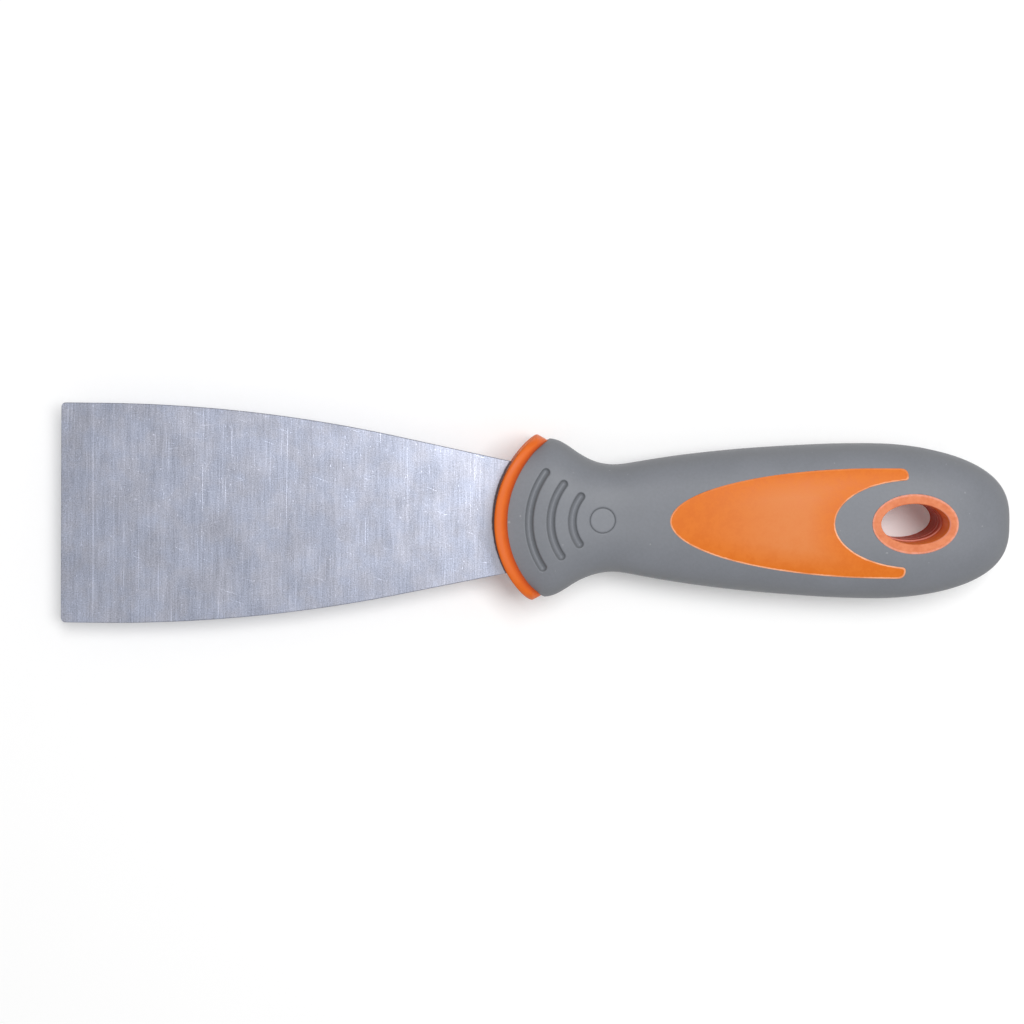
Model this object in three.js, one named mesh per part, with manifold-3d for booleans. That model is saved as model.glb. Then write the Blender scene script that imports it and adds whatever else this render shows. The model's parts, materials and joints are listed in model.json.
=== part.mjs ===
// A 50 mm flexible putty knife: spring-steel blade, two-shell plastic core, front collar and soft grip.
// Millimetres. +X runs from the blade's working edge to the end of the handle, +Z is up, and the
// origin is under the middle of the knife on the surface it lies on.
import * as THREE from "three";
import { LoftGeometry } from "three/addons/geometries/LoftGeometry.js";
import { mergeVertices } from "three/addons/utils/BufferGeometryUtils.js";
import Module from "manifold-3d";

// ---- Driving dimensions ----
const HALF_LENGTH = 107.6;
const MID_HEIGHT = 10.5; // the blade's middle plane above the surface the knife lies on
const GAP = 0.3; // clearance between neighbouring pieces
const FAR = 30; // how far a cutting tool runs past the piece it cuts

// Blade
const BLADE_HALF_WIDTH = 25;
const BLADE_THICKNESS = 0.6;
const EDGE_THICKNESS = 0.4; // at the working edge, after the taper
const EDGE_TAPER_LENGTH = 7;
const BLADE_CORNER_RADIUS = 1;
const BLADE_PARALLEL_LENGTH = 9; // full width behind the working edge
const BLADE_FLARE_RADIUS = 330;
const BLADE_FLARE_ANGLE = THREE.MathUtils.degToRad(11.8);
const SHOULDER_X = -1; // where the blade narrows to its tang
const TANG_HALF_WIDTH = 7;
const TANG_END_X = 50;
const TANG_END_CHAMFER = 4;
const TANG_HOLE_RADIUS = 2.3;
const FIRST_BEND_X = -18; // the blade bends at four lines, this one and three more
const BEND_PITCH = 22;
const BEND_COUNT = 4;

// Handle: each station is (distance along the knife, half width, half height) of the outside
const HANDLE_STATIONS = [
  [-14, 17.7, 9.3],
  [0, 17.7, 9.5],
  [3.3, 17.8, 9.5],
  [6.5, 16.5, 9.25],
  [10, 14.3, 8.8],
  [14, 12.7, 8.4],
  [18, 12.15, 8.2],
  [24, 13, 8.35],
  [35, 14.75, 9.1],
  [50, 16.3, 10],
  [65, 17.4, 10.4],
  [76, 17.6, 10.4],
  [86.5, 16.8, 10.25],
  [94.7, 14.9, 9.8],
  [100.1, 12.5, 8.6],
  [104.3, 9.4, 6.6],
  [106.5, 6.6, 4.6],
  [107.4, 3.2, 2.3],
  [HALF_LENGTH, 0.5, 0.4],
];
const HANDLE_SQUARENESS = 2.8; // 2 would be an ellipse
const OUTSIDE_SIDES = 32;
const INSIDE_SIDES = 20;
const SKIN = 2.2; // thickness of the soft grip

// Collar: a plate bent to an arc, between the blade and the grip
const COLLAR_HALF_WIDTH = 18.5;
const COLLAR_HALF_HEIGHT = MID_HEIGHT + 0.1; // its crown is cut flat at MID_HEIGHT
const COLLAR_SQUARENESS = 3;
const COLLAR_FRONT = { x: -9.6, radius: 23.6 };
const COLLAR_BACK = { x: -6.2, radius: 23.1 };

// Thumb rest: three grooves on one centre, and a plug over the rivet
const GROOVE_CENTRE_X = 16.9;
const GROOVE_RADII = [18.4, 13.6, 8.8];
const GROOVE_HALF_ANGLE = THREE.MathUtils.degToRad(36.5);
const GROOVE_WIDTH = 2;
const GROOVE_DEPTH = 0.9;
const GROOVE_STEPS = 8;
const RIVET_X = 14.9;
const RIVET_RADIUS = 1.9;
const RIVET_HEAD_RADIUS = 2.7;
const RIVET_HEAD_THICKNESS = 1;
const PLUG_RADIUS = 3;
const LOCATING_BOSS_X = 42;
const LOCATING_BOSS_RADIUS = 1.9;
const LOCATING_BOSS_HEIGHT = 2.5;

// Palm pads: half an ellipse with two tails round the hang hole
const PAD_CENTRE_X = 78;
const PAD_LENGTH = 48;
const PAD_HALF_WIDTH = 12.2;
const PAD_TAIL_X = 82.4;
const PAD_TAIL_CHAMFER = 1;
const PAD_CUT_SIZE = [18, 9.4]; // half length and half width of the ellipse cut from its back
const PAD_RISE = 0.2; // how far the pads stand above the grip

// Hang hole: half length and half width of its ring and of its bore
const HOLE_X = 84.3;
const RING_SIZE = [9.6, 6.6];
const RING_HEIGHT = 10.2;
const BORE_SIZE = [7.6, 4.5];
const BORE_STEP = 0.3; // the bore's middle is smaller by this
const BORE_STEP_HEIGHT = 2.7;

const wasm = await Module();
wasm.setup();

// ---- From three.js geometry to solids and back ----

// Returns a closed geometry as a solid, without the triangles that merging its corners flattens.
function solidOf(geometry) {
  const bare = new THREE.BufferGeometry();
  bare.setAttribute("position", geometry.getAttribute("position"));
  bare.setIndex(geometry.getIndex());
  const merged = mergeVertices(bare, 1e-4);
  const corners = merged.getIndex().array;
  const kept = [];
  for (let i = 0; i < corners.length; i += 3) {
    const [a, b, c] = corners.slice(i, i + 3);
    if (a !== b && b !== c && c !== a) kept.push(a, b, c);
  }
  return new wasm.Manifold(
    new wasm.Mesh({
      numProp: 3,
      vertProperties: merged.getAttribute("position").array,
      triVerts: new Uint32Array(kept),
    }),
  );
}

function meshOf(name, solid, material) {
  const made = solid.getMesh();
  const geometry = new THREE.BufferGeometry();
  geometry.setAttribute("position", new THREE.BufferAttribute(made.vertProperties, 3));
  geometry.setIndex(new THREE.BufferAttribute(made.triVerts, 1));
  geometry.computeVertexNormals();
  const mesh = new THREE.Mesh(geometry, material);
  mesh.name = name;
  return mesh;
}

const union = (...solids) => solids.reduce((a, b) => a.add(b));
const cut = (solid, ...tools) => tools.reduce((a, b) => a.subtract(b), solid);
const mirrored = (solid) => solid.mirror([0, 0, 1]);

function boxBetween(low, high) {
  const size = high.map((value, i) => value - low[i]);
  const geometry = new THREE.BoxGeometry(...size);
  geometry.translate(...low.map((value, i) => value + size[i] / 2));
  return solidOf(geometry);
}

// A plan outline, in X and Y, made solid between two heights.
function plate(shape, bottom, top, curveSegments = 16) {
  const geometry = new THREE.ExtrudeGeometry(shape, {
    depth: top - bottom,
    bevelEnabled: false,
    curveSegments,
  });
  geometry.translate(0, 0, bottom);
  return solidOf(geometry);
}

function uprightCylinder(x, radius, bottom, top) {
  const sides = 24;
  const geometry = new THREE.CylinderGeometry(radius, radius, top - bottom, sides);
  geometry.rotateX(Math.PI / 2);
  geometry.translate(x, 0, (top + bottom) / 2);
  return solidOf(geometry);
}

function ellipsePlate([halfLength, halfWidth], grow, bottom, top) {
  const shape = new THREE.Shape();
  shape.absellipse(HOLE_X, 0, halfLength + grow, halfWidth + grow, 0, 2 * Math.PI);
  return plate(shape, bottom, top);
}

// ---- The handle's outside, and anything parallel to it ----
const handleCurve = new THREE.CatmullRomCurve3(
  HANDLE_STATIONS.map(([x, halfWidth, halfHeight]) => new THREE.Vector3(x, halfWidth, halfHeight)),
  false,
  "centripetal",
);

// A ring of points across the knife. Half a step of turn puts a small flat on the crown.
function superellipse(x, halfWidth, halfHeight, squareness, sides) {
  const points = [];
  for (let i = 0; i < sides; i++) {
    const angle = ((i + 0.5) / sides) * 2 * Math.PI;
    const [c, s] = [Math.cos(angle), Math.sin(angle)];
    const y = halfWidth * Math.sign(c) * Math.abs(c) ** (2 / squareness);
    const z = halfHeight * Math.sign(s) * Math.abs(s) ** (2 / squareness);
    points.push(new THREE.Vector3(x, y, z));
  }
  return points;
}

// The handle's outside, moved inwards by inset.
function handleLoft(inset, sides) {
  const thinnest = 0.2;
  const steps = 2 * (HANDLE_STATIONS.length - 1);
  const sections = handleCurve
    .getPoints(steps)
    .filter((p) => Math.min(p.y, p.z) > inset + thinnest)
    .map((p) => superellipse(p.x, p.y - inset, p.z - inset, HANDLE_SQUARENESS, sides));
  return solidOf(new LoftGeometry(sections, { capStart: true, capEnd: true }));
}

// How high the handle's outside stands above the middle plane over a point.
function surfaceHeight(x, y) {
  const samples = 400;
  const { y: halfWidth, z: halfHeight } = handleCurve.getPoints(samples).find((p) => p.x >= x);
  const across = (Math.abs(y) / halfWidth) ** HANDLE_SQUARENESS;
  return halfHeight * (1 - across) ** (1 / HANDLE_SQUARENESS);
}

// Everything behind an arc that bulges towards the blade, from its foremost point.
function behindArc({ x, radius }, setBack = 0) {
  const [centre, reach] = [x + radius, radius - setBack];
  const quarter = Math.PI / 2;
  const shape = new THREE.Shape();
  shape.absarc(centre, 0, reach, quarter, 3 * quarter, false);
  shape.lineTo(HALF_LENGTH + FAR, -reach);
  shape.lineTo(HALF_LENGTH + FAR, reach);
  return plate(shape, -FAR, FAR, 32);
}

// ---- Blade ----

// Half the blade's width at a distance along the knife, from the working edge to the shoulders.
function bladeHalfWidth(x) {
  const flareStart = -HALF_LENGTH + BLADE_PARALLEL_LENGTH;
  const flareLength = BLADE_FLARE_RADIUS * Math.sin(BLADE_FLARE_ANGLE);
  const along = THREE.MathUtils.clamp(x - flareStart, 0, flareLength);
  const curved = BLADE_FLARE_RADIUS - Math.sqrt(BLADE_FLARE_RADIUS ** 2 - along ** 2);
  const straight = Math.max(0, x - flareStart - flareLength) * Math.tan(BLADE_FLARE_ANGLE);
  return BLADE_HALF_WIDTH - curved - straight;
}

function bladeOutline() {
  const shape = new THREE.Shape();
  const r = BLADE_CORNER_RADIUS;
  const flareStart = -HALF_LENGTH + BLADE_PARALLEL_LENGTH;
  const flare = [];
  const steps = 14;
  for (let i = 0; i <= steps; i++) {
    const x = THREE.MathUtils.lerp(flareStart, SHOULDER_X, i / steps);
    flare.push(new THREE.Vector2(x, bladeHalfWidth(x)));
  }
  shape.absarc(r - HALF_LENGTH, BLADE_HALF_WIDTH - r, r, Math.PI / 2, Math.PI, false);
  shape.absarc(r - HALF_LENGTH, r - BLADE_HALF_WIDTH, r, Math.PI, 1.5 * Math.PI, false);
  for (const p of flare) shape.lineTo(p.x, -p.y);
  shape.lineTo(SHOULDER_X, -TANG_HALF_WIDTH);
  shape.lineTo(TANG_END_X - TANG_END_CHAMFER, -TANG_HALF_WIDTH);
  shape.lineTo(TANG_END_X, TANG_END_CHAMFER - TANG_HALF_WIDTH);
  shape.lineTo(TANG_END_X, TANG_HALF_WIDTH - TANG_END_CHAMFER);
  shape.lineTo(TANG_END_X - TANG_END_CHAMFER, TANG_HALF_WIDTH);
  shape.lineTo(SHOULDER_X, TANG_HALF_WIDTH);
  for (const p of flare.reverse()) shape.lineTo(p.x, p.y);
  for (const x of [RIVET_X, LOCATING_BOSS_X]) {
    const hole = new THREE.Path();
    hole.absarc(x, 0, TANG_HOLE_RADIUS, 0, 2 * Math.PI, true);
    shape.holes.push(hole);
  }
  return shape;
}

// The whole steel sheet, thinned towards its working edge.
function bladeSheet() {
  const [half, edge] = [BLADE_THICKNESS / 2, EDGE_THICKNESS / 2];
  const taperEnd = EDGE_TAPER_LENGTH - HALF_LENGTH;
  const side = new THREE.Shape([
    new THREE.Vector2(-HALF_LENGTH, -edge),
    new THREE.Vector2(taperEnd, -half),
    new THREE.Vector2(TANG_END_X, -half),
    new THREE.Vector2(TANG_END_X, half),
    new THREE.Vector2(taperEnd, half),
    new THREE.Vector2(-HALF_LENGTH, edge),
  ]);
  const sheet = new THREE.ExtrudeGeometry(side, { depth: 2 * FAR, bevelEnabled: false });
  sheet.rotateX(Math.PI / 2);
  sheet.translate(0, FAR, 0);
  return plate(bladeOutline(), -BLADE_THICKNESS, BLADE_THICKNESS, 12).intersect(solidOf(sheet));
}

// The blade is one springy sheet. It is parted at its bending lines, from the tang to the edge.
function bladePieces() {
  const names = ["blade_tang", "blade_flex_1", "blade_flex_2", "blade_flex_3", "blade_tip"];
  const sheet = bladeSheet();
  const stops = [HALF_LENGTH];
  for (let i = 0; i < BEND_COUNT; i++) stops.push(FIRST_BEND_X - i * BEND_PITCH);
  stops.push(-HALF_LENGTH - FAR);
  return names.map((name, i) => {
    const low = [stops[i + 1] + GAP / 2, -FAR, -FAR];
    const high = [stops[i] - GAP / 2, FAR, FAR];
    return meshOf(name, sheet.intersect(boxBetween(low, high)), steel);
  });
}

// The room that the blade and its tang need in a neighbouring piece.
function bladeRoom() {
  const high = BLADE_THICKNESS / 2 + GAP;
  const wide = bladeHalfWidth(COLLAR_BACK.x) + GAP;
  const tangWide = TANG_HALF_WIDTH + GAP;
  return union(
    boxBetween([-FAR, -wide, -high], [SHOULDER_X + GAP, wide, high]),
    boxBetween([SHOULDER_X, -tangWide, -high], [TANG_END_X + GAP, tangWide, high]),
  );
}

// ---- Collar ----
function collar() {
  const ends = [-FAR, FAR].map((x) =>
    superellipse(x, COLLAR_HALF_WIDTH, COLLAR_HALF_HEIGHT, COLLAR_SQUARENESS, OUTSIDE_SIDES),
  );
  const bar = solidOf(new LoftGeometry(ends, { capStart: true, capEnd: true }));
  const flattened = bar.intersect(boxBetween([-FAR, -FAR, -MID_HEIGHT], [FAR, FAR, MID_HEIGHT]));
  const bent = cut(behindArc(COLLAR_FRONT), behindArc(COLLAR_BACK));
  return cut(flattened.intersect(bent), bladeRoom());
}

// ---- Palm pad outline, which the core stands up through and the grip is open for ----
function padShape(grow) {
  const [cutLength, cutWidth] = PAD_CUT_SIZE.map((size) => size - grow);
  const halfWidth = PAD_HALF_WIDTH + grow;
  const tail = PAD_TAIL_X + grow;
  const cutAngle = Math.PI - Math.acos((tail - HOLE_X) / cutLength);
  const chamfer = PAD_TAIL_CHAMFER;
  const quarter = Math.PI / 2;
  const shape = new THREE.Shape();
  shape.absellipse(PAD_CENTRE_X, 0, PAD_LENGTH + grow, halfWidth, quarter, 3 * quarter, false);
  shape.lineTo(tail - chamfer, -halfWidth);
  shape.lineTo(tail, chamfer - halfWidth);
  shape.absellipse(HOLE_X, 0, cutLength, cutWidth, Math.PI + cutAngle, Math.PI - cutAngle, true);
  shape.lineTo(tail, halfWidth - chamfer);
  shape.lineTo(tail - chamfer, halfWidth);
  return shape;
}

// ---- Core: two shells that close on the tang ----
const rivetTop = surfaceHeight(RIVET_X, 0) - SKIN - GAP;
const rivetHeadBottom = rivetTop - RIVET_HEAD_THICKNESS;

function wholeCore() {
  const body = handleLoft(SKIN + GAP, INSIDE_SIDES).intersect(behindArc(COLLAR_BACK, GAP));
  const pads = plate(padShape(-GAP / 2), -MID_HEIGHT, MID_HEIGHT).intersect(
    handleLoft(-PAD_RISE, OUTSIDE_SIDES),
  );
  const ring = ellipsePlate(RING_SIZE, -GAP / 2, -RING_HEIGHT, RING_HEIGHT);
  const boreMouth = ellipsePlate(BORE_SIZE, 0, BORE_STEP_HEIGHT, FAR);
  const headRoom = uprightCylinder(RIVET_X, RIVET_HEAD_RADIUS + GAP, rivetHeadBottom - GAP, FAR);
  return cut(
    union(body, pads, ring),
    bladeRoom(),
    ellipsePlate(BORE_SIZE, -BORE_STEP, -FAR, FAR),
    boreMouth,
    mirrored(boreMouth),
    uprightCylinder(RIVET_X, RIVET_RADIUS + GAP, -FAR, FAR),
    headRoom,
    mirrored(headRoom),
  );
}

function coreTop(whole) {
  const upper = boxBetween([-FAR, -FAR, GAP / 2], [HALF_LENGTH + FAR, FAR, FAR]);
  const socket = uprightCylinder(LOCATING_BOSS_X, TANG_HOLE_RADIUS, 0, LOCATING_BOSS_HEIGHT + GAP);
  return cut(whole.intersect(upper), socket);
}

function coreBottom(whole) {
  const lower = boxBetween([-FAR, -FAR, -FAR], [HALF_LENGTH + FAR, FAR, -GAP / 2]);
  const rootDepth = 2;
  const boss = uprightCylinder(LOCATING_BOSS_X, LOCATING_BOSS_RADIUS, -rootDepth, LOCATING_BOSS_HEIGHT);
  return union(whole.intersect(lower), boss);
}

// ---- Rivet through both shells and the tang, and the plugs that cover its heads ----
function rivet() {
  const shank = uprightCylinder(RIVET_X, RIVET_RADIUS, -rivetTop, rivetTop);
  const head = uprightCylinder(RIVET_X, RIVET_HEAD_RADIUS, rivetHeadBottom, rivetTop);
  return union(shank, head, mirrored(head));
}

function rivetPlug() {
  const bar = uprightCylinder(RIVET_X, PLUG_RADIUS - GAP / 2, rivetTop + GAP, FAR);
  return bar.intersect(handleLoft(0, OUTSIDE_SIDES));
}

// ---- Grip: one soft skin moulded round the core ----

// A groove's cutter: a round bar bent to an arc, sunk into the top of the thumb rest.
function grooveCutter(radius) {
  const reach = GROOVE_WIDTH / 2;
  const section = new THREE.Shape();
  section.absarc(0, 0, reach, 0, 2 * Math.PI);
  const points = [];
  for (let i = 0; i <= GROOVE_STEPS; i++) {
    const angle = Math.PI + GROOVE_HALF_ANGLE * ((2 * i) / GROOVE_STEPS - 1);
    const x = GROOVE_CENTRE_X + radius * Math.cos(angle);
    const y = radius * Math.sin(angle);
    points.push(new THREE.Vector3(x, y, surfaceHeight(x, y) - GROOVE_DEPTH + reach));
  }
  const bar = new THREE.ExtrudeGeometry(section, {
    extrudePath: new THREE.CatmullRomCurve3(points),
    steps: GROOVE_STEPS,
    bevelEnabled: false,
    curveSegments: 4,
  });
  return solidOf(bar);
}

function grip() {
  const outside = handleLoft(0, OUTSIDE_SIDES).intersect(behindArc(COLLAR_BACK, GAP));
  const grooves = GROOVE_RADII.map(grooveCutter);
  return cut(
    outside,
    handleLoft(SKIN, INSIDE_SIDES),
    plate(padShape(GAP / 2), -FAR, FAR),
    ellipsePlate(RING_SIZE, GAP / 2, -FAR, FAR),
    uprightCylinder(RIVET_X, PLUG_RADIUS + GAP / 2, -FAR, FAR),
    ...grooves,
    ...grooves.map(mirrored),
  );
}

// ---- Materials ----
const steel = new THREE.MeshStandardMaterial({ color: 0xb8bcca, roughness: 0.35, metalness: 1 });
const orange = new THREE.MeshStandardMaterial({ color: 0xe8863f, roughness: 0.5, metalness: 0 });
const grey = new THREE.MeshStandardMaterial({ color: 0x84868c, roughness: 0.65, metalness: 0 });
const zinc = new THREE.MeshStandardMaterial({ color: 0xc8c8c4, roughness: 0.4, metalness: 1 });

// ---- Assembly ----
const blade = new THREE.Group();
blade.add(...bladePieces());

const core = wholeCore();
const plug = rivetPlug();
const handle = new THREE.Group();
handle.add(
  meshOf("collar", collar(), orange),
  meshOf("core_top", coreTop(core), orange),
  meshOf("core_bottom", coreBottom(core), orange),
  meshOf("grip", grip(), grey),
  meshOf("tang_rivet", rivet(), zinc),
  meshOf("rivet_plug_top", plug, grey),
  meshOf("rivet_plug_bottom", mirrored(plug), grey),
);

const knife = new THREE.Group();
knife.position.z = MID_HEIGHT;
knife.add(blade, handle);

const root = new THREE.Group();
root.add(knife);
export default root;
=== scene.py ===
"""A 50 mm flexible putty knife on a pale floor, seen from above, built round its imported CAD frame.

Shapes are worked out in millimetres round the blade's middle plane (z = 0), as signed distances: negative
inside a piece, positive outside. They are then made into meshes and placed in metres in the CAD's frame.
"""
import json
import math

import bmesh
import bpy
import numpy as np
import openvdb
from mathutils import Matrix, Vector

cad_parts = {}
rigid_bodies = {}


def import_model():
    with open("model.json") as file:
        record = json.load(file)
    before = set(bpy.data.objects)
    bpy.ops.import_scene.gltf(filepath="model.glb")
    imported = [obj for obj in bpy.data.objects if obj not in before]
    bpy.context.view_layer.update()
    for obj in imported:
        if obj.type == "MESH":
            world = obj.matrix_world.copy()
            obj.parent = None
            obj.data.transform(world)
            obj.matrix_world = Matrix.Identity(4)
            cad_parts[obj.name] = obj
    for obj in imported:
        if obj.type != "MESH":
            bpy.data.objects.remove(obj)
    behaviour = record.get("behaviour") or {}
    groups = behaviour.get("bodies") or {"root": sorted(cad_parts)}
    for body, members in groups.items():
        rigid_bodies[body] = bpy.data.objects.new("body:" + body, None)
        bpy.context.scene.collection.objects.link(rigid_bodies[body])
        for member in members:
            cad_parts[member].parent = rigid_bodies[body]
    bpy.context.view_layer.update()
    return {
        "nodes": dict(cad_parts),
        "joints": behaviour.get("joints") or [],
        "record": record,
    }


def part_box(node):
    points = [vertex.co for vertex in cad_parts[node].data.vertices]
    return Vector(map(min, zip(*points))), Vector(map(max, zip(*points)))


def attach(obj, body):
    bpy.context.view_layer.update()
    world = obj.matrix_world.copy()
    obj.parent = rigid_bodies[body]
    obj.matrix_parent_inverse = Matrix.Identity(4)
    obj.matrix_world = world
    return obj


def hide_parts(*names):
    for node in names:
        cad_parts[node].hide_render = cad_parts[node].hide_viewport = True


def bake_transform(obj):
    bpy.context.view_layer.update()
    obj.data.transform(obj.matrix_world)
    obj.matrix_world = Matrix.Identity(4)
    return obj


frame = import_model()

MM = 0.001


# ---- Driving dimensions, from the frame ----
def box_mm(node):
    """A CAD node's lowest and highest corners in millimetres, as two arrays."""
    low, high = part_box(node)
    return np.array(low) / MM, np.array(high) / MM


TIP_LOW, TIP_HIGH = box_mm("blade_tip")
COLLAR_HIGH = box_mm("collar")[1]
PLUG_LOW, PLUG_HIGH = box_mm("rivet_plug_top")
GRIP_HIGH = box_mm("grip")[1]
MID_Z = (TIP_LOW[2] + TIP_HIGH[2]) / 2
# The blade reaches a little further than in the CAD, and the handle a little less far, as in the photograph
TIP_X = TIP_LOW[0] - 0.25
END_X = GRIP_HIGH[0] - 0.25
HINGES = [(j["parent"], j["child"], j["pos_m"][0] / MM) for j in frame["joints"]]
HOLE = np.array(frame["record"]["physics"]["openings"][0]["box_m"]) / MM
HOLE_X = HOLE[:, 0].mean()
RING_MOUNT = next(m for m in frame["record"]["mounts"] if m["name"] == "hang_ring_top")
RING_TOP = RING_MOUNT["pos_m"][2] / MM - MID_Z

# ---- Driving dimensions of the looks, in millimetres ----
BLADE_HALF_WIDTH = TIP_HIGH[1]
BLADE_HALF_THICKNESS = (TIP_HIGH[2] - TIP_LOW[2]) / 2
EDGE_HALF_THICKNESS = 0.2
EDGE_TAPER_LENGTH = 7
BLADE_CORNER_RADIUS = 1.0
BLADE_CHAMFER = (0.16, 0.09)  # its width and its depth, along the working edge and the sides
EDGE_SKEW = (0.007, -80, 20)  # the working edge is a little askew: its slope, where it starts, over what length
EDGE_HIGHLIGHTS = ((7.3, 1.0), (12.0, 0.5))  # painted highlight stripes across the blade, the first where the ground bevel ends: distance from its edge, strength
BLADE_PARALLEL_LENGTH = 9
BLADE_FLARE_RADIUS = 330
BLADE_FLARE_ANGLE = math.radians(11.8)
BLADE_ROOT_X = -1.0
SHARP_ANGLE = math.radians(25)
BLADE_RING_PITCH = 0.9
TANG_HALF_WIDTH = 7
TANG_END_X = 50
TANG_CHAMFER = 4
TANG_HOLE_RADIUS = 2.3
TANG_HOLES_X = (14.9, 42)
TANG_OVERLAP = 0.5  # how far it runs into the blade in sight
TANG_SPACE = (7.3, 0.6, 50.3)  # half width, half height and end of the room left for it in the core

# Each station is (distance along the knife, half width, half height) of the handle before its end is rounded
HANDLE_STATIONS = [
    (-14, 17.2, 8.5),
    (-5, 17.75, 9.0),
    (1, 17.95, 9.4),
    (4, 17.7, 9.45),
    (6.5, 16.55, 9.3),
    (9, 14.9, 9.05),
    (12, 13.3, 8.65),
    (15, 12.4, 8.35),
    (18, 12.15, 8.2),
    (22, 12.65, 8.25),
    (28, 13.7, 8.5),
    (36, 14.85, 9.1),
    (47, 16.05, 9.85),
    (58, 16.88, 10.25),
    (68, 17.4, 10.35),
    (76, 17.54, 10.3),
    (84, 17.54, 10.45),
    (90, 17.54, 10.85),
    (95, 17.54, 11.3),
    (101, 17.54, 11.6),
    (110, 17.54, 11.7),
]
HANDLE_SQUARENESS = 2.8
END_ROUND_LENGTH = 31.6
SKIN = 2.2
CORE_GAP = 0.1  # between the skin and the core
COLLAR_TO_CORE = 0.4
PARTING_GAP = 0.03  # half of the gap between the core's two shells

COLLAR_FRONT = (14.9, 24.2)
COLLAR_BACK = (16.9, 23.1)
COLLAR_SQUARENESS = 3.8
COLLAR_TIP_X = -0.3
COLLAR_TIP_FLARE = 0.3
COLLAR_TIP_LENGTH = 3.5
COLLAR_SHIFT = 0.15  # it sits a little to one side
COLLAR_TIP_SLOPE = 0.56
COLLAR_FRONT_ROUND = 0.3
COLLAR_BACK_ROUND = (0.15, 1.3)  # at its sides, and on its top and underside
COLLAR_CHEEK = (14.5, 3.1, 0.85)  # from here outwards, over this width, its back edge runs this far back
BLADE_SLOT_HALF_HEIGHT = 0.38
BLADE_SLOT_HALF_WIDTH = (13.1, -5, 0.2)  # its half width as far as this x, and how fast it widens beyond

GROOVE_CENTRE_X = 16.9
GROOVES = [(18.4, math.radians(35.2)), (13.6, math.radians(36.2)), (8.8, math.radians(37))]  # radius, half angle
GROOVE_HALF_WIDTH = 0.88
GROOVE_DEPTH = 0.84
GROOVE_SQUARENESS = 1.6
GROOVE_LIP = 0.3

PLUG_X = (PLUG_LOW[0] + PLUG_HIGH[0]) / 2
PLUG_RADIUS = (PLUG_HIGH[0] - PLUG_LOW[0]) / 2 - 0.05
PLUG_FOOT = PLUG_LOW[2] - MID_Z
PLUG_GAP = 0.15  # between the plug and the core
RIVET_HEAD_HEIGHT = 1.6
RIVET_HOLE_RADIUS = 2.1
PLUG_EDGE_ROUND = 0.5
LAP = 0.1  # how far moulded-on edges lie over their neighbours

TWIST = math.tan(math.radians(1.3))
TWIST_FROM, TWIST_TO = 9.5, 15

PAD_CENTRE_X = 78
PAD_SIZE = (48, 12.2)
PAD_TAIL_X = 82.3
TAIL_DRIFT = 0.5  # one tail is this much longer
TAIL_SIDE = (7.5, 1.5)  # it starts at this y, and fades in over this width
TAIL_REACH = (74, 90, 6)  # it lies between these two x, and fades in over this length
PAD_CUT_SIZE = (18, 9.85)
PAD_RISE = 0.1
PAD_EDGE_ROUND = 0.15
INLAY_LIP = 0.08
PAD_CORNER_ROUND = 0.9
WEAR_AND_SHEEN_PATCH = (57, 13, 6)  # a paler patch of painted sheen that also stands for wear: its middle, its spread, and how far inside the pad's edge it is strongest

RING_SIZE = (9.6, 6.6)
RING_RISE = 0.08
BORE_SIZE = (7.6, 4.5)
BORE_STEP = 0.35
BORE_STEP_HEIGHT = 2.7
PARTING_DEPTH, PARTING_HALF_HEIGHT = 0.12, 0.16

# ---- How finely the looks are made: millimetres between samples, and the most triangles ----
HANDLE_MESH = (0.2, 190000)
COLLAR_MESH = (0.15, 120000)
PLUG_MESH = (0.1, 20000)

# ---- Light and camera ----
FLOOR_GLOW = 0.1
DOME = ((0, 0.7), (0.2, 0.48), (0.4, 0.34), (0.7, 0.42), (1, 0.6))  # height above the horizon, brightness
KEY_PLACE = (0.26, 0.24, 1.1)
KEY_SIZE = (0.7, 0.36)
KEY_WATTS = 9.0
LENS_MM, SENSOR_MM = 65.7, 36
LENS_SHIFT = (-0.002, -0.1353)  # places the knife in the picture as the photograph does
CAMERA_MM = (-5.2, 32.6, 425)  # its place, with its height taken from the blade's middle plane
CAMERA_TURN = math.radians(0.57)


# ---- Signed distances ----
def smooth_max(a, b, r):
    """The larger of two distances, rounding the edge between them to about radius r."""
    blend = np.maximum(r - np.abs(a - b), 0) / r
    return np.maximum(a, b) + blend * blend * r / 4


def ellipse(x, y, centre_x, size):
    """Distance in plan from an ellipse on the knife's axis; exact on its edge."""
    a, b = size
    u, v = (x - centre_x) / a, y / b
    r = np.sqrt(u * u + v * v) + 1e-6
    slope = np.sqrt((u / a) ** 2 + (v / b) ** 2) / r + 1e-6
    return (r - 1) / slope


def disc(x, y, centre_x, radius):
    return np.hypot(x - centre_x, y) - radius


def natural_spline(xs, ys, x):
    """A natural cubic spline through (xs, ys), evaluated at x."""
    n, h, d = len(xs), np.diff(xs), np.diff(ys) / np.diff(xs)
    system, right = np.eye(n), np.zeros(n)
    for i in range(1, n - 1):
        system[i, i - 1 : i + 2] = h[i - 1], 2 * (h[i - 1] + h[i]), h[i]
        right[i] = 6 * (d[i] - d[i - 1])
    m = np.linalg.solve(system, right)
    i = np.clip(np.searchsorted(xs, x) - 1, 0, n - 2)
    s = x - xs[i]
    third = (m[i + 1] - m[i]) / (6 * h[i])
    first = d[i] - h[i] * (2 * m[i] + m[i + 1]) / 6
    return ys[i] + s * (first + s * (m[i] / 2 + s * third))


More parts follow.
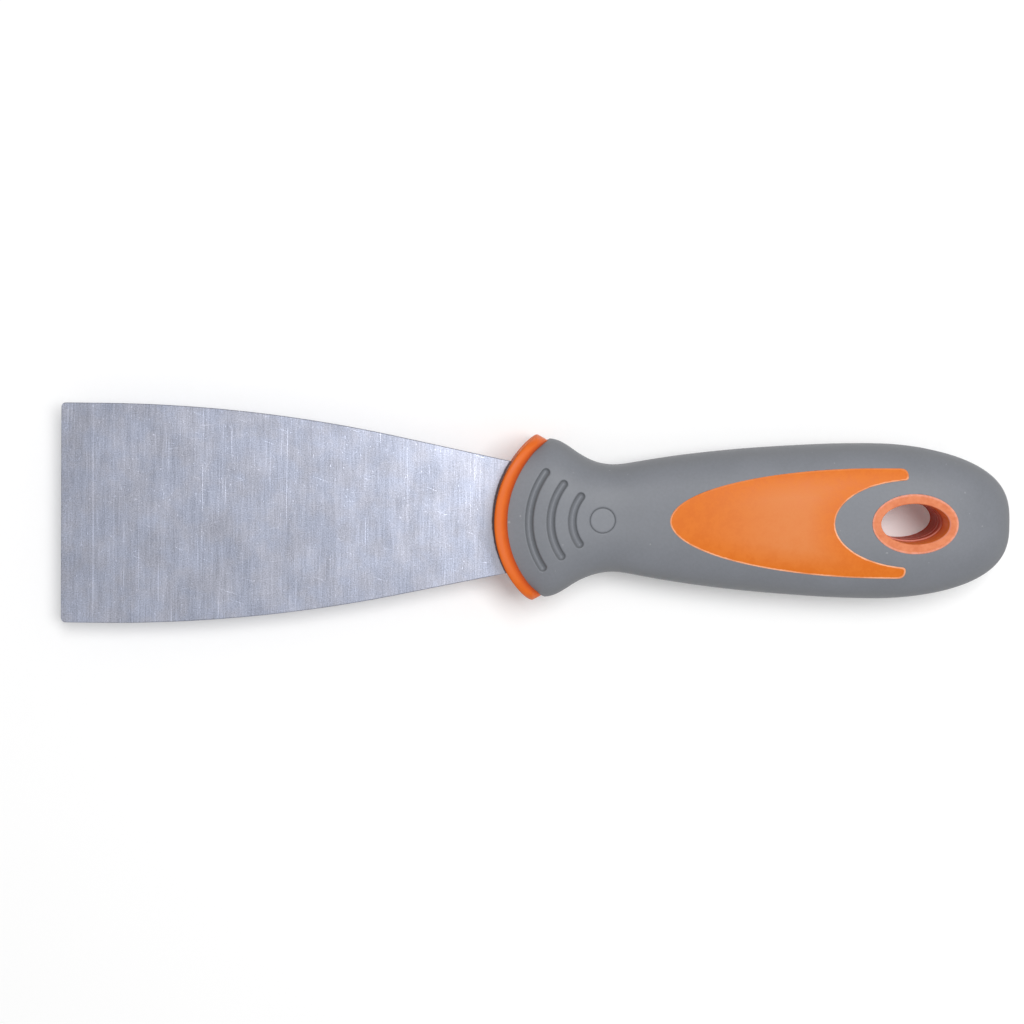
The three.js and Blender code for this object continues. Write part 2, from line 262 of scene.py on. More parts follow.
TABLE_SIZE = 2481
STATIONS = np.array(HANDLE_STATIONS)
TABLE_X = np.linspace(STATIONS[0, 0], STATIONS[-1, 0], TABLE_SIZE)
TABLE_WIDTH = natural_spline(STATIONS[:, 0], STATIONS[:, 1], TABLE_X)
TABLE_HEIGHT = natural_spline(STATIONS[:, 0], STATIONS[:, 2], TABLE_X)
TABLE_WIDTH_SLOPE = np.gradient(TABLE_WIDTH, TABLE_X)
TABLE_HEIGHT_SLOPE = np.gradient(TABLE_HEIGHT, TABLE_X)


def handle(x, y, z):
    """Distance from the outside of the whole handle."""
    n = HANDLE_SQUARENESS
    w, h = np.interp(x, TABLE_X, TABLE_WIDTH), np.interp(x, TABLE_X, TABLE_HEIGHT)
    w_slope = np.interp(x, TABLE_X, TABLE_WIDTH_SLOPE)
    h_slope = np.interp(x, TABLE_X, TABLE_HEIGHT_SLOPE)
    e = np.maximum(x - (END_X - END_ROUND_LENGTH), 0) / END_ROUND_LENGTH
    u, v = np.abs(y) / w, np.abs(z) / h
    un, vn = u**n, v**n
    g = un + vn + e * e + 1e-6
    gx = 2 * e / END_ROUND_LENGTH - n * (un * w_slope / w + vn * h_slope / h)
    gy, gz = n * u ** (n - 1) / w, n * v ** (n - 1) / h
    slope = np.sqrt(gx * gx + gy * gy + gz * gz) + 1e-6
    return n * (g - g ** (1 - 1 / n)) / slope


def pad_outline(x, y):
    """Distance in plan from the palm pad: half an ellipse with two tails round the hang ring."""
    half = ellipse(np.minimum(x, PAD_CENTRE_X), y, PAD_CENTRE_X, PAD_SIZE)
    ends = smooth_max(half, x - PAD_TAIL_X, PAD_CORNER_ROUND * 2)
    return smooth_max(ends, -ellipse(x, y, HOLE_X, PAD_CUT_SIZE), PAD_CORNER_ROUND)


def behind_arc(x, y, arc):
    centre, radius = arc
    return np.where(x < centre, np.hypot(x - centre, y), np.abs(y)) - radius


def collar_back(x, y):
    """Distance from the curved line where the grip meets the collar; negative on the grip's side."""
    start, width, run = COLLAR_CHEEK
    return behind_arc(x - run * np.clip((np.abs(y) - start) / width, 0, 1) ** 2, y, COLLAR_BACK)


def groove(x, y, depth, radius, half_angle):
    """Distance from one thumb groove, given the depth of each point under the handle's surface."""
    angle = np.arctan2(np.abs(y), GROOVE_CENTRE_X - x)
    capped = np.minimum(angle, half_angle)
    near_x = GROOVE_CENTRE_X - radius * np.cos(capped)
    near_y = radius * np.sin(capped)
    across = np.hypot(x - near_x, np.abs(y) - near_y)
    p = GROOVE_SQUARENESS
    down = np.abs(depth + GROOVE_HALF_WIDTH - GROOVE_DEPTH)
    return (across**p + down**p) ** (1 / p) - GROOVE_HALF_WIDTH


def grip_field(x, y, z):
    body = handle(x, y, z)
    shell = np.maximum(body, collar_back(x, y) - LAP * 3)
    for radius, half_angle in GROOVES:
        shell = smooth_max(shell, -groove(x, y, body, radius, half_angle), GROOVE_LIP)
    shell = smooth_max(shell, -disc(x, y, PLUG_X, PLUG_RADIUS - LAP / 2), PLUG_EDGE_ROUND)
    shell = smooth_max(shell, -pad_outline(x, y), INLAY_LIP)
    shell = smooth_max(shell, -ellipse(x, y, HOLE_X, RING_SIZE), INLAY_LIP)
    return smooth_max(shell, -(body + SKIN), 0.3)


def bore_field(x, y, z):
    """Distance from the hang hole, which is stepped and has a parting line half way down."""
    height = np.abs(z)
    wide = ellipse(x, y, HOLE_X, BORE_SIZE)
    mouth = smooth_max(wide, BORE_STEP_HEIGHT - height, 0.1)
    parting = smooth_max(wide + PARTING_DEPTH, height - PARTING_HALF_HEIGHT, 0.1)
    return np.minimum(wide + BORE_STEP, np.minimum(mouth, parting))


def core_field(x, y, z):
    """The orange core: its body under the grip, the palm pad and the hang ring. Its halves meet at z = 0."""
    outside = handle(x, y, z)
    body = smooth_max(outside + SKIN + CORE_GAP, collar_back(x, y) + COLLAR_TO_CORE, 0.5)
    crown = outside - PAD_RISE
    pad = smooth_max(crown, pad_outline(x, y) - LAP, PAD_EDGE_ROUND)
    face = np.maximum(np.abs(z) - RING_TOP, outside - RING_RISE)
    ring = smooth_max(ellipse(x, y, HOLE_X, RING_SIZE) - LAP, face, 0.2)
    whole = np.minimum(body, np.minimum(pad, ring))
    whole = smooth_max(whole, -bore_field(x, y, z), 0.25)
    half_width, half_height, end = TANG_SPACE
    tang = np.maximum(np.abs(y) - half_width, np.maximum(np.abs(z) - half_height, x - end))
    plug = np.maximum(disc(x, y, PLUG_X, PLUG_RADIUS + PLUG_GAP), -np.abs(z) + PLUG_FOOT - RIVET_HEAD_HEIGHT)
    shank = disc(x, y, PLUG_X, RIVET_HOLE_RADIUS)
    whole = np.maximum(whole, -np.minimum(np.minimum(tang, shank), plug))
    return smooth_max(whole, PARTING_GAP - z, 0.1)


def plug_field(x, y, z):
    crown = smooth_max(handle(x, y, z) - 0.02, disc(x, y, PLUG_X, PLUG_RADIUS + LAP / 2), PLUG_EDGE_ROUND)
    return smooth_max(crown, PLUG_FOOT - z, 0.2)


def collar_field(x, y, z):
    along_tip = np.clip(x - COLLAR_TIP_X, 0, COLLAR_TIP_LENGTH)
    half_width = COLLAR_HIGH[1] + COLLAR_TIP_FLARE - COLLAR_TIP_SLOPE * along_tip
    half_height = COLLAR_HIGH[2] - MID_Z
    n = COLLAR_SQUARENESS
    u, v = np.abs(y) / half_width, np.abs(z) / half_height
    g = (u**n + v**n) ** (1 / n) + 1e-6
    slope = np.hypot((u / g) ** (n - 1) / half_width, (v / g) ** (n - 1) / half_height) + 1e-6
    bar = (g - 1) / slope
    front = smooth_max(bar, behind_arc(x, y, COLLAR_FRONT), COLLAR_FRONT_ROUND * 2)
    side, top = COLLAR_BACK_ROUND
    back_round = side + (top - side) * np.clip((np.abs(z) - 2) / 5, 0, 1)
    band = smooth_max(front, -collar_back(x, y), back_round * 2)
    slot_width, widens_from, rate = BLADE_SLOT_HALF_WIDTH
    slot_width = slot_width + rate * np.maximum(widens_from - x, 0)
    slot = np.maximum(np.abs(z) - BLADE_SLOT_HALF_HEIGHT, np.abs(y) - slot_width)
    return smooth_max(band, -slot, 0.15)


# ---- From distances to meshes ----
def newton(field, points, rounds=3):
    """Moves points onto a field's surface, and returns them with the surface's normals."""
    e = 0.02
    for _ in range(rounds):
        x, y, z = points.T
        at = field(x, y, z)
        gradient = np.stack(
            [
                field(x + e, y, z) - field(x - e, y, z),
                field(x, y + e, z) - field(x, y - e, z),
                field(x, y, z + e) - field(x, y, z - e),
            ],
            axis=1,
        ) / (2 * e)
        square = np.maximum((gradient**2).sum(1), 0.25)
        step = np.clip(at / square, -0.15, 0.15)
        points = points - gradient * step[:, None]
    return points, gradient / np.linalg.norm(gradient, axis=1)[:, None].clip(1e-9)


def surface(field, low, high, step, sides):
    """Points and quads of a field's surface in a box. sides says how it is mirrored: "y" across the knife,
    "yz" also from top to bottom. Only the positive side is worked out."""
    counts = [int(math.ceil((b - a) / step)) + 1 for a, b in zip(low, high)]
    axes = [a + step * np.arange(n) for a, n in zip(low, counts)]
    starts = list(low)
    for axis, name in ((1, "y"), (2, "z")):
        if name in sides:
            axes[axis] = step * (np.arange(int(math.ceil(high[axis] / step)) + 1) + 0.5)
            starts[axis] = -axes[axis][-1]
    band = 3 * step
    values = np.empty([len(a) for a in axes], np.float32)
    for i in range(0, len(axes[0]), 40):
        x, y, z = np.meshgrid(axes[0][i : i + 40], axes[1], axes[2], indexing="ij", sparse=True)
        values[i : i + 40] = np.clip(field(x, y, z), -band, band)
    for axis, name in ((1, "y"), (2, "z")):
        if name in sides:
            values = np.concatenate([np.flip(values, axis), values], axis)
    grid = openvdb.FloatGrid(band)
    grid.copyFromArray(values, tolerance=1e-6)
    points, quads = grid.convertToQuads(0.0)
    return points * step + np.array(starts), quads


def make_mesh(name, points, faces):
    """An object from points in millimetres round the blade's middle plane."""
    mesh = bpy.data.meshes.new(name)
    placed = (points + (0, 0, MID_Z)) * MM
    mesh.from_pydata(placed.tolist(), [], faces.tolist())
    mesh.shade_smooth()
    piece = bpy.data.objects.new(name, mesh)
    bpy.context.scene.collection.objects.link(piece)
    return piece


def points_of(piece):
    """A piece's points, in millimetres round the blade's middle plane."""
    flat = np.empty(len(piece.data.vertices) * 3, np.float32)
    piece.data.vertices.foreach_get("co", flat)
    return flat.reshape(-1, 3).astype(float) / MM - (0, 0, MID_Z)


def set_points(piece, points, normals):
    placed = ((points + (0, 0, MID_Z)) * MM).astype(np.float32)
    piece.data.vertices.foreach_set("co", placed.ravel())
    piece.data.normals_split_custom_set_from_vertices(normals.tolist())
    piece.data.update()


def twisted(points):
    """The collar and thumb grooves sit a little askew, and one tail of the palm pad is longer than the other."""
    x, y, z = points.T
    share = np.clip((TWIST_TO - x) / (TWIST_TO - TWIST_FROM), 0, 1)
    side, width = TAIL_SIDE
    start, end, fade = TAIL_REACH
    tail = np.clip((y - side) / width, 0, 1) * np.clip((x - start) / fade, 0, 1) * np.clip((end - x) / fade, 0, 1)
    moved = points.copy()
    moved[:, 0] += TWIST * y * share * share * (3 - 2 * share) + TAIL_DRIFT * tail
    return moved


def moulded(name, field, low, high, fineness, sides):
    """A piece made from a field in a box, and its points before the twist. The triangles that it is allowed are
    kept where the shape is tight."""
    step, most_faces = fineness
    step = step
    points, quads = surface(field, low, high, step, sides)
    points, _ = newton(field, points)
    piece = make_mesh(name, points, quads)
    triangles = 2 * len(quads)
    if triangles > most_faces:
        thin = piece.modifiers.new("thin", "DECIMATE")
        thin.ratio = most_faces / triangles
        depsgraph = bpy.context.evaluated_depsgraph_get()
        thinned = bpy.data.meshes.new_from_object(piece.evaluated_get(depsgraph))
        piece.modifiers.remove(thin)
        piece.data = thinned
        piece.data.name = name
    points, normals = newton(field, points_of(piece), 2)
    set_points(piece, twisted(points), normals)
    return piece, points


def add_attribute(piece, name, values):
    attribute = piece.data.attributes.new(name, "FLOAT", "POINT")
    attribute.data.foreach_set("value", np.asarray(values, np.float32))


# ---- The blade: one sheet, made in four stretches, one round each hinge ----
def blade_half_width(x):
    flare_start = TIP_X + BLADE_PARALLEL_LENGTH
    flare_length = BLADE_FLARE_RADIUS * math.sin(BLADE_FLARE_ANGLE)
    along = min(max(x - flare_start, 0), flare_length)
    curved = BLADE_FLARE_RADIUS - math.sqrt(BLADE_FLARE_RADIUS**2 - along**2)
    straight = max(0, x - flare_start - flare_length) * math.tan(BLADE_FLARE_ANGLE)
    corner = max(0, BLADE_CORNER_RADIUS - (x - TIP_X)) / BLADE_CORNER_RADIUS
    rounding = BLADE_CORNER_RADIUS * (1 - math.sqrt(1 - corner**2))
    return BLADE_HALF_WIDTH - curved - straight - rounding


def blade_half_thickness(x):
    share = min((x - TIP_X) / EDGE_TAPER_LENGTH, 1)
    width, depth = BLADE_CHAMFER
    cut = depth * max(1 - (x - TIP_X) / width, 0)
    return EDGE_HALF_THICKNESS + share * (BLADE_HALF_THICKNESS - EDGE_HALF_THICKNESS) - cut


def blade_ring(x, across=49):
    """Points round the blade's section at x, with its long edges broken by a small chamfer."""
    w, t = blade_half_width(x), blade_half_thickness(x)
    width, depth = BLADE_CHAMFER
    ys = np.linspace(-1, 1, across) * (w - width)
    side = t - min(depth, t / 2)
    top = [(x, y, t) for y in ys]
    bottom = [(x, y, -t) for y in ys[::-1]]
    right = [(x, w, side), (x, w, -side)]
    left = [(x, -w, -side), (x, -w, side)]
    return top + right + bottom + left


def blade_stretch(name, low_x, high_x):
    """A closed length of the blade between two distances along the knife."""
    xs = list(np.linspace(low_x, high_x, int((high_x - low_x) / BLADE_RING_PITCH) + 2))
    if low_x <= TIP_X:
        corner = [TIP_X + BLADE_CORNER_RADIUS * (1 - math.cos(a)) for a in np.linspace(0, 1.5, 9)]
        beyond = [x for x in xs if x > TIP_X + BLADE_CORNER_RADIUS]
        taper_end = TIP_X + EDGE_TAPER_LENGTH
        xs = sorted(corner + beyond + [TIP_X + BLADE_CHAMFER[0], taper_end])
    rings = [blade_ring(x) for x in xs]
    size = len(rings[0])
    faces = []
    for i in range(len(rings) - 1):
        for j in range(size):
            k = (j + 1) % size
            faces.append([i * size + j, (i + 1) * size + j, (i + 1) * size + k, i * size + k])
    faces.append(list(range(size)))
    last = (len(rings) - 1) * size
    faces.append([last + size - 1 - j for j in range(size)])
    points = np.array([p for ring in rings for p in ring])
    slope, start, run = EDGE_SKEW
    skewed = points.copy()
    skewed[:, 0] -= slope * points[:, 1] * np.clip((start - points[:, 0]) / run, 0, 1)
    mesh = bpy.data.meshes.new(name)
    mesh.from_pydata(((skewed + (0, 0, MID_Z)) * MM).tolist(), [], faces)
    mesh.validate()
    piece = bpy.data.objects.new(name, mesh)
    bpy.context.scene.collection.objects.link(piece)
    mesh.shade_smooth()
    mesh.set_sharp_from_angle(angle=SHARP_ANGLE)
    rest = mesh.attributes.new("rest_mm", "FLOAT_VECTOR", "POINT")
    rest.data.foreach_set("vector", points.astype(np.float32).ravel())
    return piece


def make_blade():
    """Each stretch meets the next half way between two hinges; the CAD's blade parts are hidden in their place."""
    hinges = [x for _, _, x in HINGES]
    pitch = hinges[0] - hinges[1]
    meeting = [BLADE_ROOT_X] + [x - pitch / 2 for x in hinges[:-1]] + [TIP_X]
    stands_for = [("blade_tang", "blade_flex_1"), ("blade_flex_2",), ("blade_flex_3",), ("blade_tip",)]
    pieces = []
    for i, (parent, child, x) in enumerate(HINGES):
        piece = blade_stretch(f"blade_{i + 1}_of_{len(HINGES)}", meeting[i + 1], meeting[i])
        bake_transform(piece)
        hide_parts(*stands_for[i])
        pieces.append(piece)
    return pieces


# ---- Node materials ----
class Nodes:
    """A node tree with short ways to add what the materials here share."""

    def __init__(self, name):
        self.material = bpy.data.materials.new(name)
        self.material.use_nodes = True
        self.tree = self.material.node_tree
        self.shader = next(n for n in self.tree.nodes if n.type == "BSDF_PRINCIPLED")

    def set(self, node, inputs):
        for key, value in inputs.items():
            if isinstance(value, bpy.types.NodeSocket):
                self.tree.links.new(value, node.inputs[key])
            else:
                node.inputs[key].default_value = value

    def add(self, kind, inputs, **settings):
        node = self.tree.nodes.new("ShaderNode" + kind)
        for key, value in settings.items():
            setattr(node, key, value)
        self.set(node, inputs)
        return node

    def finish(self, **inputs):
        self.set(self.shader, {key.replace("_", " "): value for key, value in inputs.items()})
        return self.material

    def place(self):
        return self.add("TexCoord", {}).outputs["Object"]

    def height(self, vector):
        return self.add("SeparateXYZ", {0: vector}).outputs[2]

    def facing_up(self):
        """1 where the surface faces straight up or down, and 0 on its sides."""
        return self.maths("ABSOLUTE", self.height(self.add("NewGeometry", {}).outputs["Normal"]))

    def attribute(self, name, output="Fac"):
        return self.add("Attribute", {}, attribute_name=name).outputs[output]

    def stretch(self, vector, x, y, z, turn=0.0):
        inputs = {"Vector": vector, "Scale": (x, y, z), "Rotation": (0, 0, turn)}
        return self.add("Mapping", inputs, vector_type="TEXTURE").outputs[0]

    def noise(self, vector, scale, detail=2.0, roughness=0.5):
        inputs = {"Vector": vector, "Scale": scale, "Detail": detail, "Roughness": roughness}
        return self.add("TexNoise", inputs).outputs["Fac"]

    def maths(self, operation, a, b=0.0, c=0.0):
        return self.add("Math", {0: a, 1: b, 2: c}, operation=operation).outputs[0]

    def ramp(self, value, low, high, to_low=0.0, to_high=1.0, smooth=True):
        kind = "SMOOTHSTEP" if smooth else "LINEAR"
        inputs = {"Value": value, "From Min": low, "From Max": high, "To Min": to_low, "To Max": to_high}
        return self.add("MapRange", inputs, interpolation_type=kind).outputs[0]

    def mix(self, share, a, b):
        node = self.add("Mix", {}, data_type="RGBA")
        self.set(node, {"Factor": share})
        for socket, value in (("A_Color", a), ("B_Color", b)):
            target = next(s for s in node.inputs if s.identifier == socket)
            if isinstance(value, bpy.types.NodeSocket):
                self.tree.links.new(value, target)
            else:
                target.default_value = (*value, 1.0)
        return next(s for s in node.outputs if s.identifier == "Result_Color")

    def bump(self, height, distance, strength=1.0):
        inputs = {"Height": height, "Distance": distance, "Strength": strength}
        return self.add("Bump", inputs).outputs[0]


def palette(*rgb):
    """An sRGB colour out of 255, as linear light."""
    return tuple(c / 255 / 12.92 if c <= 10.3 else ((c / 255 + 0.055) / 1.055) ** 2.4 for c in rgb)


def steel():
    """Spring steel, ground across its width, with wear scratches, a painted shadow and painted light beside the
    collar, and painted highlight stripes near its edge.
    """
    n = Nodes("blade_steel")
    at = n.attribute("rest_mm", "Vector")
    x, y = (n.add("SeparateXYZ", {0: at}).outputs[i] for i in (0, 1))
    streaks = n.noise(n.stretch(at, 0.3, 7, 1), 1.0, 2.0, 0.6)
    grain = n.noise(at, 3.6, 1.0, 0.6)
    bands = n.noise(n.stretch(at, 2.2, 70, 1), 1.0, 2.0, 0.5)
    blotch = n.noise(at, 0.11, 4.0, 0.6)
    tint = n.noise(at, 0.16, 3.0, 0.6)
    long_marks = n.ramp(n.noise(n.stretch(at, 0.24, 60, 1), 1.0, 0.0), 0.7, 0.78)
    long_marks = n.maths("MULTIPLY", long_marks, n.ramp(n.noise(n.stretch(at, 2, 9, 1), 1.0, 1.0), 0.45, 0.6))
    slanted = [
        n.ramp(n.noise(n.stretch(at, 7, 0.28, 1, turn), 1.0, 1.0, 0.4), 0.74, 0.79) for turn in (0.15, -0.35, 0.9)
    ]
    specks = n.ramp(n.noise(n.stretch(at, 0.36, 0.7, 1), 1.0, 0.0), 0.76, 0.82)
    marks = n.maths("MAXIMUM", slanted[0], n.maths("MAXIMUM", *slanted[1:]))
    marks = n.maths("MAXIMUM", n.maths("MULTIPLY", marks, 0.8), n.maths("MAXIMUM", long_marks, specks))
    # Painted highlights: pale stripes across the blade near its edge, the first where the ground bevel ends
    edge_highlights = n.maths("ADD", *(
        n.ramp(n.maths("ABSOLUTE", n.maths("SUBTRACT", x, TIP_X + place)), 0.1, 0.26, share, 0.0)
        for place, share in EDGE_HIGHLIGHTS
    ))
    edge_highlights = n.maths("MULTIPLY", edge_highlights, n.ramp(n.noise(n.stretch(at, 1, 5, 1), 1.0, 2.0), 0.3, 0.6, 0.5, 1.0))
    tone = 0.5
    for noise, share in ((streaks, 0.62), (grain, 0.9), (bands, 0.22), (blotch, 0.22)):
        tone = n.maths("ADD", tone, n.maths("MULTIPLY", n.maths("SUBTRACT", noise, 0.5), share))
    tone = n.maths("ADD", tone, n.maths("MULTIPLY", edge_highlights, 0.22))
    tone = n.maths("ADD", tone, n.maths("MULTIPLY", marks, n.ramp(x, -90, -20, 0.28, 0.16)))
    cool = n.mix(tone, (0.24, 0.26, 0.325), (0.74, 0.79, 0.97))
    warm = n.mix(tone, (0.257, 0.267, 0.317), (0.775, 0.80, 0.94))
    colour = n.mix(n.ramp(tint, 0.35, 0.65), cool, warm)
    radius = n.maths("SQRT", n.maths("ADD", n.maths("POWER", n.maths("SUBTRACT", x, COLLAR_FRONT[0]), 2.0),
                                     n.maths("POWER", y, 2.0)))
    ahead = n.maths("SUBTRACT", radius, COLLAR_FRONT[1])
    reach = n.maths("MULTIPLY_ADD", y, -0.025, 0.58)
    # Painted light: the steel is painted paler within about 3 mm of the collar, more so towards -y, against the
    # shade the collar casts on it
    painted_light_by_collar = n.maths("MULTIPLY", n.ramp(ahead, 0.5, 3.0, 0.5, 0.0), n.maths("MULTIPLY_ADD", y, -0.03, 1.0))
    colour = n.mix(painted_light_by_collar, colour, (0.84, 0.88, 1.0))
    # Painted shadow: a thin dark red-brown line on the steel in front of the collar, wider towards -y, for the
    # collar's shade; it is also made rougher and less metallic
    ragged = n.maths("MULTIPLY_ADD", n.noise(at, 1.5, 2.0), 0.3, -0.15)
    painted_collar_shadow = n.ramp(n.maths("SUBTRACT", n.maths("ADD", ahead, ragged), reach), -0.12, 0.12, 1.0, 0.0)
    colour = n.mix(n.maths("MULTIPLY", painted_collar_shadow, 0.85), colour, palette(74, 44, 40))
    rough = n.maths("MULTIPLY_ADD", n.maths("SUBTRACT", blotch, 0.5), 0.12, 0.30)
    rough = n.maths("ADD", rough, n.maths("MULTIPLY", painted_collar_shadow, 0.3))
    height = n.maths("SUBTRACT", n.maths("ADD", streaks, grain), marks)
    metal = n.maths("MULTIPLY_ADD", painted_collar_shadow, -0.9, 1.0)
    return n.finish(Base_Color=colour, Metallic=metal, Roughness=rough, Normal=n.bump(height, 0.00001, 0.5))


def collar_orange():
    n = Nodes("collar_plastic")
    at = n.place()
    blotch = n.noise(at, 300, 3.0, 0.6)
    fine = n.noise(at, 1600, 2.0, 0.6)
    colour = n.mix(n.ramp(blotch, 0.3, 0.7), palette(219, 100, 22), palette(225, 106, 27))
    # Painted shade: a deeper orange in the crease where the collar's back meets the grip
    painted_crease_shade = n.attribute("painted_crease_shade")
    colour = n.mix(n.maths("MULTIPLY", painted_crease_shade, 0.75), colour, palette(196, 72, 24))
    # Painted shade: the front wall is painted 40% of the way to dark red-brown within about 15 mm of the middle
    front = n.attribute("painted_front_wall_shade")
    colour = n.mix(n.maths("MULTIPLY", front, 0.4), colour, palette(96, 34, 18))
    rough = n.ramp(blotch, 0.3, 0.7, 0.46, 0.56)
    shine = n.ramp(n.attribute("at_front"), 0.0, 1.0, 0.3, 0.05)
    return n.finish(
        Base_Color=colour, Roughness=rough, Specular_IOR_Level=shine, Normal=n.bump(fine, 0.00003, 0.25)
    )


def core_orange():
    """Orange plastic, with a pale flash line where it meets the grip, a drier hang ring, a paler patch of painted
    sheen and wear on the pad, and painted light and shade in the bore.
    """
    n = Nodes("core_plastic")
    at = n.place()
    blotch = n.noise(at, 420, 4.0, 0.65)
    fine = n.noise(at, 1500, 2.0, 0.6)
    ragged = n.noise(at, 1100, 3.0, 0.7)
    patchy = n.ramp(n.noise(at, 210, 2.0), 0.38, 0.55, 0.5, 1.0)
    mottle = n.maths("ADD", n.maths("MULTIPLY", blotch, 0.7), n.maths("MULTIPLY", fine, 0.3))
    colour = n.mix(n.ramp(mottle, 0.38, 0.62), palette(218, 111, 24), palette(223, 118, 31))
    # Painted sheen, also standing for wear: the pad is paler in a patch round its middle
    wear_and_sheen = n.maths("MULTIPLY", n.attribute("wear_and_sheen"), n.ramp(mottle, 0.3, 0.7, 0.7, 1.0))
    colour = n.mix(wear_and_sheen, colour, palette(222, 131, 68))
    edge = n.maths("ADD", n.attribute("pad_edge"), n.maths("MULTIPLY", n.maths("SUBTRACT", ragged, 0.5), 0.35))
    flash = n.maths("MULTIPLY", n.ramp(edge, -0.3, -0.12), n.attribute("flash"))
    flash = n.maths("MULTIPLY", flash, patchy)
    colour = n.mix(flash, colour, palette(251, 182, 142))
    ring = n.mix(n.ramp(mottle, 0.36, 0.64), palette(214, 120, 78), palette(227, 139, 98))
    rim = n.maths("MULTIPLY", n.ramp(n.attribute("ring_edge"), -0.5, -0.2), n.ramp(ragged, 0.4, 0.6, 0.4, 1.0))
    ring = n.mix(n.maths("MULTIPLY", rim, 0.7), ring, palette(240, 166, 146))
    colour = n.mix(n.attribute("on_ring"), colour, ring)
    # Painted light and shade in the bore: darker and redder from its upper mouth downwards, paler orange at the
    # upper mouth, and paler painted highlights at the step, at the parting line and on faces that look up or down
    height = n.maths("SUBTRACT", n.height(at), MID_Z * MM)
    bore_light_and_shade = n.mix(n.ramp(height, -0.006, -0.002), palette(192, 82, 52), palette(196, 78, 45))
    bore_light_and_shade = n.mix(n.ramp(height, 0.0015, 0.0045), bore_light_and_shade, palette(250, 146, 66))
    step_edge = n.maths("ABSOLUTE", n.maths("SUBTRACT", n.maths("ABSOLUTE", height), BORE_STEP_HEIGHT * MM))
    bore_light_and_shade = n.mix(n.ramp(step_edge, 0.00012, 0.0004, 0.6, 0.0), bore_light_and_shade, palette(226, 158, 140))
    bore_light_and_shade = n.mix(n.ramp(n.maths("ABSOLUTE", height), 0.0003, 0.0005, 0.8, 0.0), bore_light_and_shade, palette(244, 196, 180))
    bore_light_and_shade = n.mix(n.ramp(n.facing_up(), 0.25, 0.6), bore_light_and_shade, palette(206, 128, 112))
    colour = n.mix(n.attribute("in_bore"), colour, bore_light_and_shade)
    rough = n.ramp(mottle, 0.3, 0.7, 0.46, 0.56)
    rough = n.maths("ADD", rough, n.maths("MULTIPLY", n.attribute("on_ring"), 0.15))
    return n.finish(
        Base_Color=colour, Roughness=rough, Specular_IOR_Level=0.25, Normal=n.bump(mottle, 0.00005, 0.3)
    )


def rubber(name, low, high):
    """Soft rubber with a fine grain and a few pale specks; its sides are painted darker and more neutral as shade,
    and have a faint parting line.
    """
    n = Nodes(name)
    at = n.place()
    cloud = n.noise(at, 70, 4.0, 0.55)
    fine = n.noise(at, 1500, 2.0, 0.6)
    speck = n.ramp(n.noise(at, 1000, 0.0), 0.84, 0.88)
    tone = n.maths("ADD", n.ramp(cloud, 0.3, 0.7, 0.25, 0.75), n.ramp(fine, 0.3, 0.7, -0.15, 0.15))
    # Painted shade: the sides are painted a darker, more neutral grey than faces that look up or down
    painted_side_shade = n.ramp(n.facing_up(), 0.5, 0.97, 0.4, 0.0)
    colour = n.mix(painted_side_shade, n.mix(tone, low, high), palette(100, 101, 101))
    colour = n.mix(n.maths("MULTIPLY", speck, 0.35), colour, palette(176, 178, 180))
    from_middle = n.maths("ABSOLUTE", n.maths("SUBTRACT", n.height(at), MID_Z * MM))
    parting = n.ramp(from_middle, 0.00004, 0.00014, 1.0, 0.0)
    colour = n.mix(n.maths("MULTIPLY", parting, 0.35), colour, palette(150, 152, 156))
    rough = n.ramp(cloud, 0.3, 0.7, 0.5, 0.58)
    height = n.maths("ADD", n.maths("MULTIPLY", fine, 0.3), parting)
    return n.finish(
        Base_Color=colour, Roughness=rough, Specular_IOR_Level=0.45, Normal=n.bump(height, 0.00006, 0.35)
    )


def zinc():
    n = Nodes("rivet_steel")
    at = n.place()
    blotch = n.noise(at, 900, 3.0, 0.6)
    colour = n.mix(n.ramp(blotch, 0.3, 0.7), (0.5, 0.5, 0.48), (0.66, 0.66, 0.64))
    return n.finish(Base_Color=colour, Metallic=1.0, Roughness=n.ramp(blotch, 0.3, 0.7, 0.3, 0.45))


def give(piece, material):
    piece.data.materials.clear()
    piece.data.materials.append(material)


def mirrored(piece, name):
    """A copy of a piece turned over to the underside."""
    twin = piece.copy()
    twin.data = piece.data.copy()
    twin.name = twin.data.name = name
    bpy.context.scene.collection.objects.link(twin)
    points = points_of(piece) * (1, 1, -1)
    twin.data.flip_normals()
    twin.data.vertices.foreach_set("co", ((points + (0, 0, MID_Z)) * MM).astype(np.float32).ravel())
    twin.data.update()
    return twin


